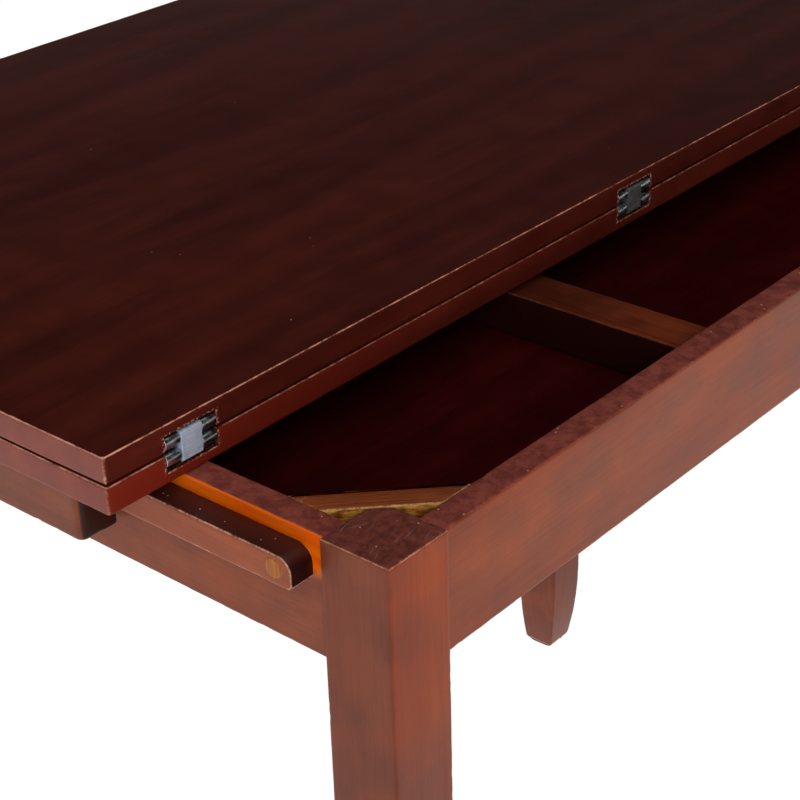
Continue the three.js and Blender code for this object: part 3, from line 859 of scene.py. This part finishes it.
def make_leaf(name, body):
    low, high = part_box(name)
    outline = rectangle(low.x, high.x, low.y, high.y, LEAF["corner"])
    is_lower = name == "lower_leaf"
    face, up = (high.z, 1) if is_lower else (low.z, -1)
    corner = Vector((low.x, low.y, face))

    def dent(place, lean):
        if lean != -up:
            return 0.0
        return LEAF["dent"] * math.exp(-(place - corner).length / LEAF["dent_reach"])

    piece = slab(name + "_worn", "z", outline, low.z, high.z, LEAF["easing"], LEAF["wear"],
                 seed=12 + len(body), bare=LEAF_WEAR_AND_HIGHLIGHT[name], dent=dent)
    cutters = []
    for number, hinge in enumerate(HINGES):
        half = "lower" if is_lower else "upper"
        plate_low, plate_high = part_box(f"hinge_{half}_{hinge}")
        pin_z = middle_of(f"{half}_pin_{hinge}", Z)
        x0, x1 = plate_low.x - NOTCH["side"], plate_high.x + NOTCH["side"]
        z0, z1 = sorted((pin_z - up * NOTCH["past_pin"], face + up * NOTCH["out"]))
        cutters.append(rough_block(
            Vector((x0, low.y - NOTCH["out"], z0)), Vector((x1, low.y + NOTCH["depth"], z1)),
            NOTCH["spacing"], NOTCH["rough"], number * 3.0))
        z0, z1 = sorted((face - up * RECESS["depth"], face + up * NOTCH["out"]))
        cutters.append(rough_block(
            Vector((x0, low.y + 0.5 * NOTCH["depth"], z0)),
            Vector((x1, plate_high.y + NOTCH["side"], z1)), RECESS["spacing"],
            RECESS["rough"], number * 5.0))
    carve(piece, *cutters)
    settle_edges(piece, low.y)
    finish_piece(piece, body, name, "top_wood", "x")


def make_cleat(end):
    name = f"cleat_{end}"
    low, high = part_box(name)
    near, far = CLEAT["outer"], CLEAT["inner"]
    if end == "right":
        near, far = far, near
    outline = rectangle(low.x, high.x, low.y, high.y, near, far, far, near)
    piece = board(name, "z", outline, CLEAT, 16 + len(end))
    runner_low, runner_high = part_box(f"runner_{end}")
    groove_low = Vector((runner_low.x - GROOVE["side"], low.y - GROOVE["ends"],
                         runner_low.z - GROOVE["below"]))
    groove_high = Vector((runner_high.x + GROOVE["out"], high.y + GROOVE["ends"],
                          runner_high.z + GROOVE["above"]))
    if end == "right":
        groove_low.x = runner_low.x - GROOVE["out"]
        groove_high.x = runner_high.x + GROOVE["side"]
    carve(piece, rough_block(groove_low, groove_high, 60 * MM, 0.0, 0.0))
    finish_piece(piece, TOP_BODY, name, "frame_wood", "y", "cleat_wood")


def make_stop_block(side):
    name = f"stop_block_{side}"
    low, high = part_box(name)
    outline = rectangle(low.x, high.x, low.y, high.y, BLOCK["corner"])
    piece = board(name, "z", outline, BLOCK, 20 + len(side))
    finish_piece(piece, TOP_BODY, name, "runner_wood", "x", "block_wood")


# ---------------- hinges

BARREL = {"sides": 48, "rim": 0.45 * MM}
PLATE = {"thickness": 1.6 * MM, "front": (0.3 * MM, 2), "back": (2.5 * MM, 5),
         "easing": 0.25 * MM}
LINK = {"front": (1.2 * MM, 4), "easing": 0.35 * MM}
SCREW = {"head": 3.1 * MM, "neck": 1.7 * MM, "depth": 1.5 * MM, "slot": 0.7 * MM,
         "arm": 1.9 * MM, "slot_depth": 0.8 * MM, "rows": (15 * MM, 26 * MM),
         "from_side": 7 * MM, "sides": 28}
LINK_ROOM = {"side": 0.4 * MM, "behind": 1.5 * MM}


def barrel(x0, x1, y, z, radius):
    """One knuckle of a hinge, with softened rims."""
    rim = BARREL["rim"]
    stations = [(x0, radius - rim), (x0 + rim * 0.3, radius - rim * 0.3), (x0 + rim, radius),
                (x1 - rim, radius), (x1 - rim * 0.3, radius - rim * 0.3), (x1, radius - rim)]
    rings = [[(x, y + r * math.cos(a), z + r * math.sin(a)) for a in circle(BARREL["sides"])]
             for x, r in stations]
    return solid("barrel", rings)


def screw(x, y, face, up):
    """A countersunk head with a cross in it. Its face is at z = face and looks up or down."""
    stations = [(0.0, 0.97), (0.12 * MM, 1.0), (SCREW["depth"], SCREW["neck"] / SCREW["head"])]
    rings = [[(x + SCREW["head"] * share * math.cos(a), y + SCREW["head"] * share * math.sin(a),
               face - up * depth) for a in circle(SCREW["sides"])] for depth, share in stations]
    head = solid("head", rings)
    arm, half, reach = SCREW["arm"], SCREW["slot"] / 2, SCREW["slot_depth"]
    bars = []
    for half_x, half_y in ((arm, half), (half, arm)):
        bars.append(rough_block(Vector((x - half_x, y - half_y, face - reach)),
                                Vector((x + half_x, y + half_y, face + reach)), 10 * MM, 0, 0))
    carve(head, *bars)
    return head


def make_hinge_half(half, hinge, body):
    name = f"hinge_{half}_{hinge}"
    low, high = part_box(name)
    link_low, link_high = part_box(f"hinge_link_{hinge}")
    pin = f"{half}_pin_{hinge}"
    middle_y, middle_z = middle_of(pin, Y), middle_of(pin, Z)
    radius = middle_y - low.y
    face, up = (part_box("lower_leaf")[1].z, 1) if half == "lower" else (
        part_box("upper_leaf")[0].z, -1)
    plate_z = sorted((face, face - up * PLATE["thickness"]))
    front, back = PLATE["front"], PLATE["back"]
    outline = rectangle(low.x, high.x, middle_y + radius * 0.35, high.y, front, front, back,
                        back)
    plate = slab("plate", "z", outline, *plate_z, PLATE["easing"])
    gap = LINK_ROOM["side"]
    link_room = rough_block(Vector((link_low.x - gap, low.y - gap, plate_z[0] - gap)),
                            Vector((link_high.x + gap, link_high.y + LINK_ROOM["behind"],
                                    plate_z[1] + gap)), 20 * MM, 0, 0)
    carve(plate, link_room)
    parts = [plate]
    for x0, x1 in ((low.x, link_low.x - gap), (link_high.x + gap, high.x)):
        parts.append(barrel(x0, x1, middle_y, middle_z, radius))
    piece = joined(name + "_fine", parts, 50)
    finish_piece(piece, body, name, "hinge_metal")

    leaf_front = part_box("lower_leaf")[0].y
    heads = []
    for x in (low.x + SCREW["from_side"], high.x - SCREW["from_side"]):
        for row in SCREW["rows"]:
            heads.append(screw(x, leaf_front + row, face, up))
    screws = joined(f"hinge_screws_{half}_{hinge}", heads, CARVED_SHARP)
    screws.data.materials.append(materials["bolt_steel"])
    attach(screws, body)


def make_hinge_link(hinge):
    name = f"hinge_link_{hinge}"
    low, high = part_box(name)
    front, back = LINK["front"], ((high.y - low.y) / 2 - 0.05 * MM, 10)
    outline = rectangle(low.y, high.y, low.z, high.z, front, back, back, front)
    piece = slab(name + "_fine", "x", outline, low.x, high.x, LINK["easing"])
    # The middle link takes a darker copy of the link metal, a painted shade.
    look = "shaded_link_metal" if hinge == "middle" else "link_metal"
    finish_piece(piece, LINK_BODY, name, "link_metal", look=look)


def make_hinges():
    for hinge in HINGES:
        make_hinge_half("lower", hinge, TOP_BODY)
        make_hinge_half("upper", hinge, FLAP_BODY)
        make_hinge_link(hinge)
        for half in ("lower", "upper"):
            keep_cad(f"{half}_pin_{hinge}", "bolt_steel", 0.3 * MM)


# ---------------- other materials

GRIME = srgb(40, 30, 26)


def metal(name, dark, light, rough, soil=0.0, metallic=1.0):
    """Steel with smudges, fine scratches and patches of grime."""
    material, tree, shader = new_material(name)
    place = node(tree, "TexCoord").outputs["Object"]
    smudge = cloud(tree, place, 260.0, 4.0, 0.6)
    lines = streaks(tree, place, (60.0, 1800.0, 1800.0), 1.0, 2.0)
    colour = blend(tree, spread(tree, smudge, (0.3, 0.7)), dark, light)
    colour = blend(tree, 1.0, colour, spread(tree, lines, (0.3, 0.7), (0.85, 1.1)), "MULTIPLY")
    if soil:
        grime = spread(tree, cloud(tree, place, 520.0, 3.0), (0.5, 0.7))
        colour = blend(tree, product(tree, grime, soil), colour, GRIME)
    tree.links.new(colour, shader.inputs["Base Color"])
    shader.inputs["Metallic"].default_value = metallic
    tree.links.new(spread(tree, smudge, (0.3, 0.7), (rough - 0.07, rough + 0.1)),
                   shader.inputs["Roughness"])
    bump = node(tree, "Bump", {"Height": lines, "Strength": 0.15, "Distance": 0.03 * MM})
    tree.links.new(bump.outputs["Normal"], shader.inputs["Normal"])
    return material


def plastic(name, colour, rough):
    material, tree, shader = new_material(name)
    place = node(tree, "TexCoord").outputs["Object"]
    scuff = cloud(tree, place, 400.0, 4.0, 0.65)
    tone = spread(tree, scuff, (0.3, 0.7), (0.8, 1.1))
    tree.links.new(blend(tree, 1.0, colour, tone, "MULTIPLY"), shader.inputs["Base Color"])
    tree.links.new(spread(tree, scuff, (0.3, 0.7), (rough - 0.08, rough + 0.12)),
                   shader.inputs["Roughness"])
    return material


# Colours painted on some woods, painted shade, highlight and bounce light among them: one, or a
# darker and a paler one.
THIN_STAIN = (1.3, 0.92, 0.22, 1.0)
LEG_TONE = (1.0, 0.88, 0.74, 1.0)
# Painted shade, dark and purple: on the aprons' upper faces, then on the legs' tops.
APRON_TOP_SHADE = (srgb(125, 59, 55), srgb(169, 87, 75))
LEG_TOP_SHADE = (srgb(108, 52, 48), srgb(142, 74, 60))
# A leg's front face, darker towards the bottom.
LEG_FRONT_DARK = srgb(70, 30, 16)
LEG_SCRATCH = srgb(222, 186, 176)
# The orange strip above a runner: paler finish, and painted bounce light.
TRACK_AND_BOUNCE = (srgb(240, 90, 0), srgb(255, 122, 3))
# Painted shade on a runner's upper side and ends; then a yellow line at its end's foot, part glue,
# part painted highlight.
RUNNER_SHADE = (srgb(36, 9, 7), srgb(64, 27, 25))
RUNNER_GLUE_AND_HIGHLIGHT = srgb(250, 170, 30)
# Painted shade on the divider rail: towards the leaf, and at its sides.
RAIL_LEAF_SHADOW, RAIL_SIDE_SHADE = srgb(66, 24, 10), srgb(44, 9, 6)
BRACE_BARE = (srgb(130, 62, 20), srgb(238, 170, 70))
# A leaf's paler ends; painted shade to its right; painted bounce light on its lower front.
LEAF_END, LEAF_FAR_SHADE, LEAF_BOUNCE_LIGHT = srgb(186, 130, 118), srgb(20, 8, 10), srgb(132, 40, 24)
# Painted shade inside the hinge notches.
NOTCH_SHADE = (srgb(30, 14, 10), srgb(110, 70, 50))
NOTCH_RIM = srgb(214, 156, 134)
CLEAT_END = srgb(44, 20, 14)

# From the middle of a hinge's link and the leaf's front: the notch's walls, and its rim.
NOTCH_WALLS = {"half_width": 20 * MM, "half_height": 12.5 * MM, "front": 0.3 * MM,
               "full": 0.8 * MM, "back": 11 * MM}
RIM = {"across": (21 * MM, 19.3 * MM), "up": (12.4 * MM, 11.2 * MM), "in": (0.5 * MM, 0.1 * MM)}


def thin_stain(tree, place, share, colour):
    """Slow patches where the stain is thinner and the wood more orange."""
    patch = spread(tree, cloud(tree, place, 13.0, 5.0, 0.6), (0.35, 0.65), share)
    return blend(tree, patch, colour, THIN_STAIN, "MULTIPLY")


def paint_frame(tree, place, normal, colour):
    """The frame's patchy stain, and painted shade that makes its upper faces dark and purple."""
    across, _, height = parts_of(tree, place)
    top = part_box("apron_front")[1].z
    rubbed = calc(tree, "ADD", spread(tree, height, (top - 24 * MM, top - 4 * MM), (0.0, 0.3)),
                  spread(tree, size_of(tree, across), (0.2, 0.35), (0.0, 0.2)))
    colour = thin_stain(tree, place, (rubbed, calc(tree, "ADD", rubbed, 0.3)), colour)
    # Upper faces painted dark and purple, mottled: a painted shade.
    up = spread(tree, parts_of(tree, normal)[Z], (0.5, 0.9))
    mottle = spread(tree, cloud(tree, place, 120.0, 4.0, 0.7), (0.35, 0.65))
    stain = blend(tree, mottle, *APRON_TOP_SHADE)
    return blend(tree, product(tree, up, 0.85), colour, stain)


def paint_track_and_bounce(tree, place, normal, colour):
    """The orange strip on an end apron: clear lacquer where runner and cleat kept stain away, and
    painted bounce light.
    """
    colour = paint_frame(tree, place, normal, colour)
    low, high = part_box("runner_left")
    x, _, z = parts_of(tree, place)
    outward = looks_along(tree, normal, X, (0.5, 0.8))
    above = spread(tree, z, (low.z - 2 * MM, low.z + 7 * MM))
    outer = calc(tree, "GREATER_THAN", size_of(tree, x), abs(high.x) - 8 * MM)
    share = product(tree, outward, above, outer)
    streak = streaks(tree, place, (1.0, 0.12, 1.0), 160.0)
    # Orange where the runner and cleat kept stain away, brightened as painted bounce light.
    orange = blend(tree, spread(tree, streak, (0.3, 0.7)), *TRACK_AND_BOUNCE)
    return blend(tree, share, colour, orange)


def paint_runner(tree, place, normal, colour):
    """A runner's upper side and ends in painted shade, and a yellow line round its end's foot,
    part glue and part painted highlight.
    """
    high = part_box("runner_left")[1]
    x, y, _ = parts_of(tree, place)
    _, along, up = parts_of(tree, normal)
    # Painted shade: the upper side (under the leaf) and the ends (beside the leg) go dark.
    dark = spread(tree, calc(tree, "MAXIMUM", up, size_of(tree, along)), (0.45, 0.7))
    stain = blend(tree, spread(tree, up, (0.3, 0.8)), *RUNNER_SHADE)
    colour = blend(tree, product(tree, dark, 0.93), colour, stain)
    middle = middle_of("runner_left", Y)
    from_middle = size_of(tree, calc(tree, "SUBTRACT", y, middle))
    at_end = spread(tree, from_middle, (high.y - middle - 9 * MM, high.y - middle - 4 * MM))
    # A painted highlight and glue line: yellow where the runner's end meets the apron.
    at_apron = calc(tree, "LESS_THAN", size_of(tree, x), abs(high.x) + 0.8 * MM)
    return blend(tree, product(tree, at_end, at_apron), colour, RUNNER_GLUE_AND_HIGHLIGHT)


def paint_rail(tree, place, normal, colour):
    """The divider rail: painted shade at its sides, as dark as the well, and a painted shadow of
    the leaf that deepens the further back.
    """
    # Sides painted dark as shade; further back, a painted shadow of the leaf deepens.
    up = spread(tree, parts_of(tree, normal)[Z], (0.3, 0.8))
    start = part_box("apron_front")[1].y
    further = spread(tree, parts_of(tree, place)[Y], (start, start + 130 * MM), (0.1, 0.8))
    return blend(tree, up, RAIL_SIDE_SHADE, blend(tree, further, colour, RAIL_LEAF_SHADOW))


def paint_brace(tree, place, normal, colour):
    """A corner brace's face to the leg is bare wood."""
    outward = vector(tree, "SUBTRACT", place, (0.0, middle_of("apron_left", Y), 0.0))
    toward = vector(tree, "DOT_PRODUCT", outward, normal, "Value")
    side = looks_along(tree, normal, Z, (0.4, 0.8), (1.0, 0.0))
    share = product(tree, side, spread(tree, toward, (0.1, 0.2)))
    streak = streaks(tree, place, (0.3, 0.3, 1.0), 300.0)
    ochre = blend(tree, spread(tree, streak, (0.35, 0.65)), *BRACE_BARE)
    return blend(tree, share, colour, ochre)


def paint_leaf(tree, place, normal, colour):
    """A leaf's paler ends, painted shade to its right and in its notches, painted bounce light in
    front.
    """
    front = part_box("lower_leaf")[0].y
    end = looks_along(tree, normal, X, (0.6, 0.85))
    colour = blend(tree, product(tree, end, 0.3), colour, LEAF_END)
    x, y, z = parts_of(tree, place)
    # Painted shade: darker towards the right.
    deep = spread(tree, x, (-0.25, 0.4), (0.0, 0.24))
    colour = blend(tree, deep, colour, LEAF_FAR_SHADE)
    seam = (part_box("lower_leaf")[1].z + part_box("upper_leaf")[0].z) / 2
    # Painted bounce light: the lower leaf's front, redder towards its ends.
    forward = spread(tree, parts_of(tree, normal)[Y], (-0.6, -0.85))
    below = calc(tree, "LESS_THAN", z, seam)
    outer = spread(tree, size_of(tree, x), (0.16, 0.47), (0.0, 0.7))
    colour = blend(tree, product(tree, forward, below, outer), colour, LEAF_BOUNCE_LIGHT)
    nearest = 1.0
    for hinge in HINGES:
        away = size_of(tree, calc(tree, "SUBTRACT", x, middle_of(f"hinge_link_{hinge}", X)))
        nearest = calc(tree, "MINIMUM", away, nearest)
    height = size_of(tree, calc(tree, "SUBTRACT", z, seam))
    walls = NOTCH_WALLS
    inside = product(tree, calc(tree, "LESS_THAN", nearest, walls["half_width"]),
                     spread(tree, y, (front + walls["front"], front + walls["full"])),
                     calc(tree, "LESS_THAN", height, walls["half_height"]),
                     calc(tree, "LESS_THAN", y, front + walls["back"]))
    # Painted shade inside each notch, ragged.
    ragged = cloud(tree, place, 700.0, 2.0, 0.7)
    notch_shade = blend(tree, spread(tree, ragged, (0.45, 0.62)), *NOTCH_SHADE)
    colour = blend(tree, inside, colour, notch_shade)
    rim = product(tree, spread(tree, nearest, RIM["across"]), spread(tree, height, RIM["up"]),
                  spread(tree, y, [front + depth for depth in RIM["in"]]),
                  spread(tree, ragged, (0.5, 0.62)))
    return blend(tree, rim, colour, NOTCH_RIM)


def paint_cleat(tree, place, normal, colour):
    """A cleat's ends, where the stain has sunk in and gone nearly black."""
    end = looks_along(tree, normal, Y, (0.6, 0.85))
    return blend(tree, product(tree, end, 0.92), colour, CLEAT_END)


def paint_leg(tree, place, normal, colour):
    """A leg: its front oranger high up and darker low, its top in painted shade, scratched by the
    sliding leaf.
    """
    forward = looks_along(tree, normal, Y, (0.6, 0.85))
    colour = blend(tree, 1.0, colour, LEG_TONE, "MULTIPLY")
    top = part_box("leg_front_left")[1].z
    height = spread(tree, parts_of(tree, place)[Z], (top - 190 * MM, top - 60 * MM))
    # The front painted more orange high up.
    thin = thin_stain(tree, place, (0.7, 1.0), colour)
    colour = blend(tree, product(tree, forward, height), colour, thin)
    # The front darker towards the bottom.
    darker_low = product(tree, forward, spread(tree, height, (0.0, 1.0), (0.2, 0.0)))
    colour = blend(tree, darker_low, colour, LEG_FRONT_DARK)
    # Painted shade on the top: dark and purple, mottled.
    up = spread(tree, parts_of(tree, normal)[Z], (0.7, 0.95))
    mottle = spread(tree, cloud(tree, place, 160.0, 4.0, 0.7), (0.35, 0.65))
    colour = blend(tree, product(tree, up, 0.9), colour, blend(tree, mottle, *LEG_TOP_SHADE))
    marks = product(tree, scratches(tree, place, 0.4), up)
    return blend(tree, marks, colour, LEG_SCRATCH)


PAINTS = {
    "top_wood": paint_leaf,
    "frame_wood": paint_frame,
    "runner_wood": paint_runner,
    "rail_wood": paint_rail,
    "brace_wood": paint_brace,
}

# The same woods with something of their own painted on.
VARIANTS = {
    "end_apron_wood": ("frame_wood", paint_track_and_bounce),
    "cleat_wood": ("frame_wood", paint_cleat),
    "leg_wood": ("frame_wood", paint_leg),
    "block_wood": ("runner_wood", None),
}


METALS = {
    "hinge_metal": {"dark": srgb(120, 120, 124), "light": srgb(206, 206, 210), "rough": 0.3,
                    "soil": 0.8},
    "link_metal": {"dark": srgb(182, 196, 220), "light": srgb(196, 210, 234), "rough": 0.5,
                   "metallic": 0.35},
    # A darker copy of the link metal: painted shade for the middle link, with some grime.
    "shaded_link_metal": {"dark": srgb(86, 90, 92), "light": srgb(112, 116, 118), "rough": 0.4,
                        "soil": 0.3, "metallic": 0.5},
    "bolt_steel": {"dark": srgb(150, 150, 152), "light": srgb(190, 190, 192), "rough": 0.35},
}


def make_materials():
    made = {name: wood(name, PAINTS.get(name)) for name in WOODS}
    for name, (kind, paint) in VARIANTS.items():
        made[name] = wood(kind, paint)
        made[name].name = name
    for name, look in METALS.items():
        made[name] = metal(name, **look)
    made["glide_plastic"] = plastic("glide_plastic", srgb(110, 92, 76), 0.55)
    return made


# ---------------- the table

make_camera()
make_stage()
materials = make_materials()

for corner in CORNERS:
    make_leg(corner)
    make_brace(corner)
    make_bolt(corner)
    keep_cad(f"brace_nut_{corner}", "bolt_steel", 0.4 * MM)
    keep_cad(f"foot_glide_{corner}", "glide_plastic", 0.3 * MM)
make_aprons()
make_well()
for end in ENDS:
    make_runner(end)
    make_cleat(end)
make_leaf("lower_leaf", TOP_BODY)
make_leaf("upper_leaf", FLAP_BODY)
make_stop_block("front")
make_stop_block("rear")
make_hinges()
